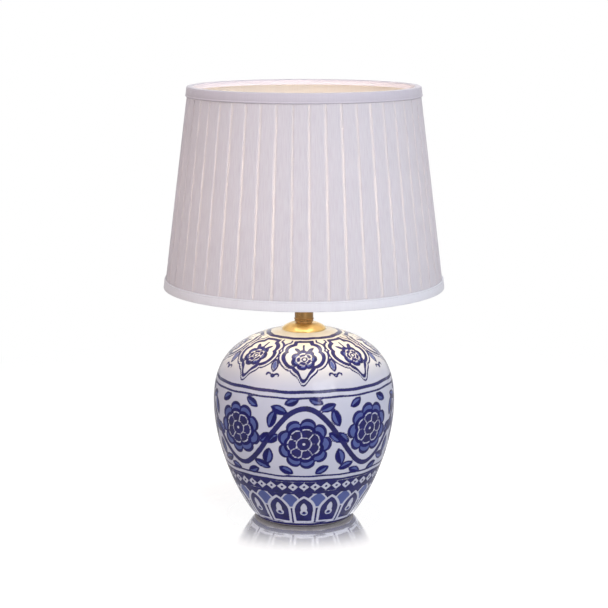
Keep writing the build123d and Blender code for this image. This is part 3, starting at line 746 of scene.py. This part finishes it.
class JARLAMP_OT_jar(bpy.types.Operator):
    """The porcelain jar with its painting, its bare foot and the felt under it"""

    bl_idname = "jar_lamp.jar"
    bl_label = "Jar"

    outlet = Vector((0, 72.529, 32.0))
    outward = Vector((0, 0.894262, -0.447543))

    def outside(self):
        """Outer side from the foot to the mouth, and the run along it, in millimetres."""
        side = curve((51.5, 1.5), (58, 1.5), (BELLY[0], 66), BELLY, 400)
        side += curve(BELLY, (BELLY[0], 157.5), (91, 194.8), JAR_MOUTH, 400)[1:]
        side = np.array(side)
        run = np.r_[0, np.cumsum(np.hypot(*np.diff(side, axis=0).T))]
        return side, run

    def execute(self, context):
        side, run = self.outside()
        even = np.linspace(0, run[-1], 168)
        outer = list(zip(np.interp(even, run, side[:, 0]), np.interp(even, run, side[:, 1])))
        inner = curve((24, 201.5), (86, 189.8), (92.7, 157.5), (92.7, 128), 9)
        inner += curve((92.7, 128), (92.7, 68), (62, 18.5), (50, 18.5), 9)[1:]
        foot = [(5.5, 18.5), (5.5, 13.5), (45.5, 13.5), (45.5, 1.9), (45.9, 1.5)]
        work = bmesh.new()
        spun(work, outer + [(14.4, 206.5), (14, 206.1), (14, 201.5)] + inner + foot, sizes().jar_columns)
        self.pierce(work)
        for face in work.faces:
            if face.calc_center_median().z < 2.6 * MM:  # the foot is wiped bare before firing
                face.material_index = 1
        jar = finished("jar_glazed", work)
        self.paint(jar, side, run)
        dress(jar, "base", [painted_porcelain(), bare_porcelain()], ["jar"])

        pad = turned("foot_felt_pad", [(0, 0), (50.7, 0), (51.05, 0.5), (51.0, 1.1), (50.6, 1.5), (0, 1.5)],
                     144, closed=False)
        dress(pad, "base", [wool_felt()], ["foot_felt"])
        return {"FINISHED"}

    def pierce(self, work):
        """Opens the cable's way through the wall, under the flange of its bush."""
        def off_axis(face):
            from_outlet = face.calc_center_median() / MM - self.outlet
            return (from_outlet - self.outward * from_outlet.dot(self.outward)).length

        near = [face for face in work.faces if face.calc_center_median().y > 0.05 and off_axis(face) < 6.2]
        bmesh.ops.delete(work, geom=near, context="FACES")
        rims = [edge for edge in work.edges if edge.is_boundary]
        bmesh.ops.bridge_loops(work, edges=rims)
        bmesh.ops.recalc_face_normals(work, faces=work.faces)

    def paint(self, jar, side, run):
        """Writes the distances to the brush strokes on the jar's outside."""
        mesh = jar.data
        points = np.empty(len(mesh.vertices) * 3)
        mesh.vertices.foreach_get("co", points)
        points = points.reshape(-1, 3) / MM
        radius, height = np.hypot(points[:, 0], points[:, 1]), points[:, 2]
        along = np.interp(height, side[:, 1], run)
        outside = np.abs(np.interp(height, side[:, 1], side[:, 0]) - radius) < 1.5

        def level(z):
            return float(np.interp(z, side[:, 1], run))

        art = Painting(np.arctan2(points[:, 1], points[:, 0]), radius, along, level, sizes().brush_shake / MM)
        for name, distance in (("cobalt", art.cobalt), ("wash", art.wash)):
            values = np.where(outside, np.clip(distance, -20, 20), 20.0)
            mesh.attributes.new(name, "FLOAT", "POINT").data.foreach_set("value", values.astype(np.float32))


class JARLAMP_OT_brass(bpy.types.Operator):
    """The spun cap on the jar's mouth, the turned neck and the holder's bell cup"""

    bl_idname = "jar_lamp.brass"
    bl_label = "Brass"

    def execute(self, context):
        bright = lacquered_brass("Spun brass under clear lacquer", colours().brass, "#B98A3C", 0.31)
        # the neck's darker brass is painted shade for the darker surroundings it reflects; the cap keeps the
        # plain brass
        dark = lacquered_brass("Turned brass with painted shade", colours().neck_brass_shaded, "#7A5C30", 0.30)
        slope = bulge((23.3, 208.0), (11.6, 213.4), 1.15, 12)
        under = bulge((11.4, 212.7), (22.7, 207.6), -1.15, 10)
        rim = [(22.7, 206.5), (23.3, 206.5), (23.5, 206.8), (23.5, 207.4), (23.35, 207.75)]
        cap = turned("brass_cap", rim + slope + [(5.2, 213.5), (5.2, 212.7)] + under, 160)
        dress(cap, "base", [bright], ["vase_cap"])

        outline = [(5.2, 213.5), (8.6, 213.5), (8.6, 214.8), (10.1, 214.9), (10.2, 215.1), (10.2, 215.75)]
        outline += [(10.05, 216.0), (9.55, 216.15), (9.5, 216.55)] + bulge((9.95, 216.75), (9.95, 218.7), 0.75, 8)
        outline += [(9.6, 218.9), (9.6, 219.3), (9.95, 219.5), (10.0, 219.8), (10.0, 231.3)]
        outline += bulge((10.0, 231.5), (11.7, 234.4), -0.6, 7)
        outline += [(11.95, 234.55), (12.0, 234.8), (12.0, 235.75), (11.75, 236.0), (5.2, 236.0)]
        dress(turned("brass_neck", outline), "base", [dark], ["neck"])

        outer = curve((12.0, 236.0), (17.5, 236.0), (20.4, 243), (20.4, 250.0), 18)
        inner = curve((19.6, 250.0), (19.6, 243.4), (17.0, 236.8), (11.2, 236.8), 16)
        lip = [(20.4, 255.5), (20.2, 255.9), (20.0, 256.0), (19.8, 255.9), (19.6, 255.5)]
        collar = [(8.0, 236.8), (8.0, 246.0), (5.05, 246.0), (5.05, 236.0)]
        cup = turned("holder_bell", outer + lip + inner + collar, 144)
        dress(cup, "base", [bright], ["holder_cup"])
        return {"FINISHED"}


class JARLAMP_OT_holder(bpy.types.Operator):
    """The lamp holder's threaded skirt and retaining ring, and what is inside them"""

    bl_idname = "jar_lamp.holder"
    bl_label = "Lamp holder"

    def execute(self, context):
        phenolic = plain_solid("Moulded black phenolic", "#1B1A1A", "#262423", 0.36, 0.8, 0.012)
        skirt = sleeve("holder_skirt_threaded", THREAD_COLUMNS, 78, self.skirt_point, closed=True, crease=40)
        dress(skirt, "base", [phenolic], ["holder_skirt"])
        dress_nodes(phenolic, "shade_ring")
        dress_nodes(plain_solid("Fired steatite", "#E6E0D2", "#D8D0BF", 0.55, 0.5, 0.02), "terminal_block")
        dress_nodes(metal("Rolled nickel-plated brass", "#C9B88A", "#B3A06F", 0.32),
                    "screw_shell", "centre_contact", "side_contact", "terminal_screws")
        dress_nodes(metal("Zinc-plated steel", "#A9ADB3", "#8F9399", 0.42),
                    "threaded_rod", "base_washer", "base_lock_washer", "base_nut")
        dress_nodes(plain_solid("Moulded white nylon", "#DCDAD2", "#CFCCC2", 0.5, 0.9, 0.015), "mouth_bushing")
        dress_nodes(plain_solid("Moulded black rubber", "#1E1D1D", "#2B2A29", 0.7, 0.6, 0.03), "cable_grommet")
        return {"FINISHED"}

    below_thread = [
        (19.5, 252.0), (19.5, 253.0), (19.5, 261.6), (19.5, 261.9), (22.3, 262.0), (22.5, 262.3), (22.5, 264.2),
        (22.3, 264.5),
    ]
    thread_rows = 54
    mouth_and_bore = [
        (18.9, 283.3), (18.2, 283.9), (17.2, 284.0), (15.4, 284.0), (14.5, 283.7), (14.1, 283.0), (14.1, 278.2),
        (14.3, 278.0), (17.3, 278.0), (17.5, 277.8), (17.5, 258.6), (17.3, 258.5), (15.3, 258.5), (15.25, 256.6),
        (17.5, 256.5), (17.5, 252.0),
    ]

    def skirt_point(self, column, row):
        """Threaded outside going up, rounded mouth, then the plain bore going down."""
        angle = 2 * pi * column / THREAD_COLUMNS
        row_of_thread = row - len(self.below_thread)
        if row_of_thread < 0:
            r, z = self.below_thread[row]
        elif row_of_thread < self.thread_rows:
            share = row_of_thread / (self.thread_rows - 1)
            z = 264.6 + 18.0 * share
            fade = min(1, share * 8, (1 - share) * 10)
            r = 19.2 + 0.3 * fade * cos(2 * pi * z / SKIRT_PITCH - angle)
        else:
            r, z = self.mouth_and_bore[row_of_thread - self.thread_rows]
        return r * cos(angle), r * sin(angle), z


class JARLAMP_OT_bulb(bpy.types.Operator):
    """The lit bulb: frosted glass, rolled screw cap and what is inside"""

    bl_idname = "jar_lamp.bulb"
    bl_label = "Bulb"

    def execute(self, context):
        glass = turned("bulb_frosted", self.glass(0.0) + self.glass(0.8)[::-1])
        dress(glass, "bulb", [frosted_glass()], ["bulb_glass"])
        glass.visible_shadow = False  # it lets the light of its own lamps out

        cap = sleeve("bulb_screw_cap", THREAD_COLUMNS, 62, self.cap_point, closed=True, crease=60)
        dress(cap, "bulb", [metal("Rolled aluminium", "#C4C5C7", "#AEB0B3", 0.3)], ["bulb_cap"])
        dress_nodes(metal("Tin solder", "#B9B9B6", "#9A9A96", 0.38), "bulb_contact")
        dress_nodes(plain_solid("Black vitrite glass", "#141419", "#1D1D24", 0.15, 1.2, 0.02), "bulb_insulator")
        dress_nodes(clear_glass(), "bulb_stem")
        dress_nodes(metal("Drawn nickel-iron wire", "#A7A39B", "#8D8982", 0.35), "bulb_leads")
        dress_nodes(metal("Coiled tungsten", "#8A8782", "#6E6B66", 0.45), "bulb_filament")

        for name, kind, power, reach in (
            ("Lit bulb", "POINT", 1.08, 0.02), ("Light thrown down", "SPOT", 0.75, 0.055),
        ):
            light = bpy.data.lights.new(name, kind)
            light.energy = power
            light.color = colours().lamplight[:3]
            light.shadow_soft_size = reach
            light.use_soft_falloff = False  # no fading where a lamp's own ball meets the glass
            if kind == "SPOT":
                light.spot_size = radians(84)
                light.spot_blend = 0.5
            lit = bpy.data.objects.new(name, light)
            lit.location = (0, 0, BULB_MIDDLE * MM)
            lit.visible_camera = False
            context.scene.collection.objects.link(lit)
        return {"FINISHED"}

    def glass(self, inset):
        """Half outline of the envelope from its foot up to its crown, set in by its wall."""
        ball, foot, neck = BULB_R - inset, 12.6 - inset, 14.2 - inset
        below = radians(35)  # how far under its middle the ball runs into the neck
        joint = (ball * cos(below), BULB_MIDDLE - ball * sin(below))
        handle = (joint[0] - 12 * sin(below), joint[1] - 12 * cos(below))
        points = [(foot, 278.8), (foot, 285.9)] + curve((neck, 287.4), (neck, 299.4), handle, joint, 16)
        for step in range(1, 25):
            turn = -below + (pi / 2 + below) * step / 24
            points.append((ball * cos(turn), BULB_MIDDLE + ball * sin(turn)))
        return points

    def cap_point(self, column, row):
        """Rolled thread going up, rim, then the same wall going down inside."""
        angle = 2 * pi * column / THREAD_COLUMNS
        up = row if row < 31 else 61 - row
        wall = 0.0 if row < 31 else 0.35
        share = up / 30
        z = 264.5 + 21.3 * share + (0 if up else 0.02)
        fade = max(0.0, min(1.0, share * 9, (0.86 - share) * 9))
        r = 12.6 + 0.5 * fade * cos(2 * pi * z / CAP_PITCH - angle) - wall
        if share > 0.9:
            r = 13.05 - wall
        if up == 0:
            r -= 0.5
        return r * cos(angle), r * sin(angle), z


class JARLAMP_OT_shade_frame(bpy.types.Operator):
    """The shade's painted wires and fitter"""

    bl_idname = "jar_lamp.shade_frame"
    bl_label = "Shade frame"

    def execute(self, context):
        wire = plain_solid("Powder-coated steel wire", "#E9E7E2", "#DAD7D0", 0.42, 1.0, 0.03)
        dress_nodes(wire, "fitter_ring", "fitter_arms", "frame_bottom_ring", "frame_top_ring", "frame_struts")
        return {"FINISHED"}


class JARLAMP_OT_shade_cloth(bpy.types.Operator):
    """The box-pleated cover, the lining and the bands along both edges"""

    bl_idname = "jar_lamp.shade_cloth"
    bl_label = "Shade cloth"

    def execute(self, context):
        self.section = self.pleat_section()
        columns = len(self.section) * PLEATS
        cotton = woven("Pleated cotton", colours().cover, "#DCD7E2", 0.5, 0.4, 0.75, 0.25)
        cover = sleeve("cover_pleated", columns, PLEAT_ROWS + 1, self.cover_point)
        dress(cover, "shade", [cotton], ["pleated_cover"])

        silk = woven("Lining of cream taffeta", colours().lining, "#E1D7CD", 0.45, 0.55, 0.5, 0.15)
        lining = sleeve("lining_stretched", LINING_COLUMNS, LINING_ROWS + 1, self.lining_point)
        dress(lining, "shade", [silk], ["shade_lining"])

        for name, node_name, edge_z, up, height, length, tint, slub_code in (
            # one tape on both edges: the bottom's lighter tint is painted light, the top's darker tint and slub
            # are painted shade
            ("band_bottom", "bottom_binding", SHADE_LOW, 1, 10.2, 0.934, colours().band, "#DAD7E6"),
            ("band_top", "top_binding", SHADE_HIGH, -1, 10.5, 0.763, colours().upper_band_shaded, "#C6C1D2"),
        ):
            tape = woven("Satin tape of " + name, tint, slub_code, 0.4, 0.12, 0.45, 0.3, 0.25)
            band = self.band(name, edge_z, up, height)
            dress(band, "shade", [tape], [node_name])
        return {"FINISHED"}

    def pleat_section(self):
        """One pleat from gap to gap: share of the way round, inset, and whether it strays."""
        pitch = 2 * pi * SHADE_LOW_R / PLEATS
        half = (pitch - GAP_WIDTH) / 2
        right = [
            (0.0, 1.50, 0), (0.45 * half, 1.50, 0), (0.8 * half, 1.52, 0), (half - 0.5, 1.56, 1),
            (half - 0.12, 1.64, 1), (half, 1.76, 1), (half - 0.14, 1.88, 1), (half - 0.6, 1.93, 1),
            (0.45 * half, 1.96, 0), (0.35, 2.00, 0), (0.15, 2.10, 0), (0.35, 2.20, 0), (0.45 * half, 2.26, 0),
            (half - 0.2, 2.32, 1), (pitch / 2 - 0.7, 2.38, 0),
        ]
        left = [(-across, inset, free) for across, inset, free in right[:0:-1]]
        return [(across / pitch, inset, free) for across, inset, free in left + right]

    def cloth_length(self):
        """Length of the cover's cut edge in millimetres, folds included."""
        pitch = 2 * pi * SHADE_LOW_R / PLEATS
        points = [Vector((share * pitch, -inset)) for share, inset, _ in self.section]
        points.append(points[0] + Vector((pitch, 0)))
        return PLEATS * sum((b - a).length for a, b in zip(points, points[1:]))

    def cover_point(self, column, row):
        """A point of the cover, its folds slightly uneven as hand-laid pleats are."""
        pleat, at = divmod(column, len(self.section))
        share, inset, free = self.section[at]
        height = row / PLEAT_ROWS
        z = CLOTH_LOW + (CLOTH_HIGH - CLOTH_LOW) * height
        side = 1 if share > 0 else -1
        stray = sizes().pleat_stray / MM
        held = sin(pi * height)  # the bands hold both ends of a fold in place
        drift = sin(2.4 * pleat + 1.7 * side) + 0.5 * sin(5.1 * pleat + side + 3.1 * height) * held
        angle = PLEAT_TURN + 2 * pi * (pleat + share) / PLEATS
        radius = shade_r(z, 0)
        if free:
            angle += stray * drift * side / radius
        front = inset < 1.6
        crown = sizes().pleat_crown / MM * held * (0.7 + 0.3 * sin(1.9 * pleat)) * (1 if front else 0.3)
        depth = inset - crown * (cos(pi * min(1, abs(share) * 2.3)) * 0.5 + 0.5)
        return (radius - depth) * cos(angle), (radius - depth) * sin(angle), z

    def lining_point(self, column, row):
        """A point of the lining, drawn in a little between the struts."""
        angle = 2 * pi * column / LINING_COLUMNS
        height = row / LINING_ROWS
        z = CLOTH_LOW + (CLOTH_HIGH - CLOTH_LOW) * height
        slack = 0.9 * sin(pi * height) * (0.5 - 0.5 * cos(STRUTS * (angle - STRUT_TURN)))
        radius = shade_r(z, 6.05) - slack
        return radius * cos(angle), radius * sin(angle), z

    def band(self, name, edge_z, up, height):
        """A folded band over one edge: U-shaped, with a rolled hem along its outer leg."""
        legs = [(0.28, 0.30), (0.05, 0.75), (0.0, 1.3), (0.03, height - 2.1), (0.18, height - 1.8)]
        legs += [(-0.02, height - 1.5), (-0.15, height - 1.0), (0.05, height - 0.5), (0.5, height - 0.15)]
        legs += [(1.1, height), (1.35, height - 0.3), (1.4, height - 0.8), (1.4, 1.75), (1.55, 1.45)]
        legs += [(6.2, 1.4), (6.4, 1.6), (6.4, 5.5), (6.6, 5.9), (7.0, 5.9), (7.2, 5.5)]
        legs += [(7.2, 1.0), (6.9, 0.35), (6.3, 0.0), (1.1, 0.0)]
        outline = [(shade_r(edge_z + up * rise, inset), edge_z + up * rise) for inset, rise in legs]
        work = bmesh.new()
        spun(work, outline, 384)
        for vert in work.verts:
            r = vert.co.xy.length / MM
            z = vert.co.z / MM
            if shade_r(z, 0) - r < 1.2 and abs(z - edge_z) > 0.6:
                angle = np.arctan2(vert.co.y, vert.co.x) - PLEAT_TURN
                swell = 0.10 * (cos(PLEATS * angle) - 1) + 0.05 * sin(31 * angle + 0.2 * z)
                vert.co.xy *= 1 + swell / r
        return finished(name, work, 60)


class JARLAMP_PT_panel(bpy.types.Panel):
    """The lamp's sizes, colours and pieces"""

    bl_idname = "JARLAMP_PT_panel"
    bl_label = "Jar lamp"
    bl_space_type = "VIEW_3D"
    bl_region_type = "UI"
    bl_category = "Jar lamp"

    def draw(self, context):
        for group in (sizes(), colours()):
            box = self.layout.box()
            for name in group.__annotations__:
                box.prop(group, name)
        for operator in OPERATORS:
            self.layout.operator(operator.bl_idname)


OPERATORS = (
    JARLAMP_OT_stage, JARLAMP_OT_jar, JARLAMP_OT_brass, JARLAMP_OT_holder, JARLAMP_OT_bulb,
    JARLAMP_OT_shade_frame, JARLAMP_OT_shade_cloth,
)
CLASSES = (LampSizes, LampColours, *OPERATORS, JARLAMP_PT_panel)


def register():
    for kind in CLASSES:
        bpy.utils.register_class(kind)
    bpy.types.Scene.jar_lamp_sizes = bpy.props.PointerProperty(type=LampSizes)
    bpy.types.Scene.jar_lamp_colours = bpy.props.PointerProperty(type=LampColours)


def unregister():
    del bpy.types.Scene.jar_lamp_sizes
    del bpy.types.Scene.jar_lamp_colours
    for kind in reversed(CLASSES):
        bpy.utils.unregister_class(kind)


def main():
    """Makes every piece in turn."""
    register()
    for operator in OPERATORS:
        group, name = operator.bl_idname.split(".")
        getattr(getattr(bpy.ops, group), name)()


if __name__ == "__main__":
    main()
